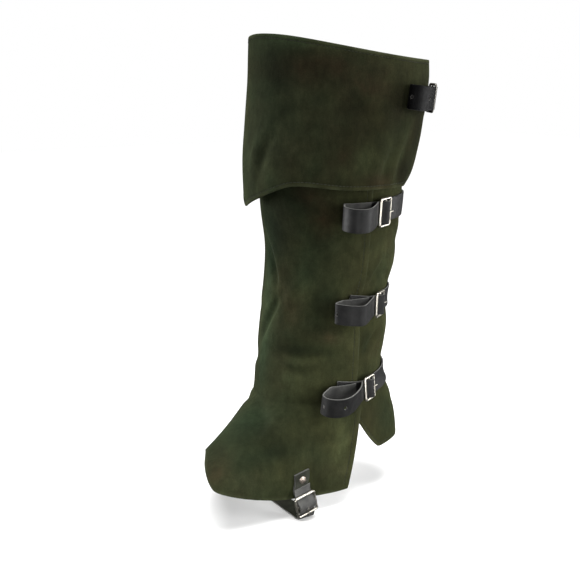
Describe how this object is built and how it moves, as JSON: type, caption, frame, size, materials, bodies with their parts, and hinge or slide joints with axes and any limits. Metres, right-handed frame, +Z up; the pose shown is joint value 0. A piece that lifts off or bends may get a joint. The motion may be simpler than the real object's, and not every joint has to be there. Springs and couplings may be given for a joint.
{
  "type": "boot cover",
  "caption": "Suede boot cover with a wide turned-down cuff, side straps with centre-bar buckles and looped ends, an open heel and a strap under the sole.",
  "frame": {"origin": "on the axis of the leg at the height of the calf strap, where the wearer's calf holds the cover up", "axes": "+Z up the leg, -Y towards the toe, +X towards the outer side of the left leg"},
  "size_m": [0.1639, 0.2481, 0.4325],
  "materials": {
    "suede": "matt napped suede, dark forest green turning olive",
    "strap_leather": "smooth black leather, soft sheen, paler cut edges",
    "nickel": "bright nickel plate"
  },
  "bodies": {
    "root": {"front_panel": "suede", "back_panel": "suede", "cuff": "suede", "cuff_strap": "strap_leather", "cuff_chape": "strap_leather", "cuff_buckle": "nickel", "cuff_tongue": "nickel", "cuff_chape_rivet": "nickel", "cuff_strap_rivet": "nickel", "calf_strap": "strap_leather", "calf_chape": "strap_leather", "calf_buckle": "nickel", "calf_tongue": "nickel", "calf_chape_rivet": "nickel", "calf_strap_rivet": "nickel", "shin_strap": "strap_leather", "shin_chape": "strap_leather", "shin_buckle": "nickel", "shin_tongue": "nickel", "shin_chape_rivet": "nickel", "shin_strap_rivet": "nickel", "ankle_strap": "strap_leather", "ankle_chape": "strap_leather", "ankle_buckle": "nickel", "ankle_tongue": "nickel", "ankle_chape_rivet": "nickel", "ankle_strap_rivet": "nickel", "stirrup_strap": "strap_leather", "stirrup_chape": "strap_leather", "stirrup_buckle": "nickel", "stirrup_tongue": "nickel", "stirrup_chape_rivet": "nickel", "stirrup_strap_rivet": "nickel"}
  },
  "joints": []
}
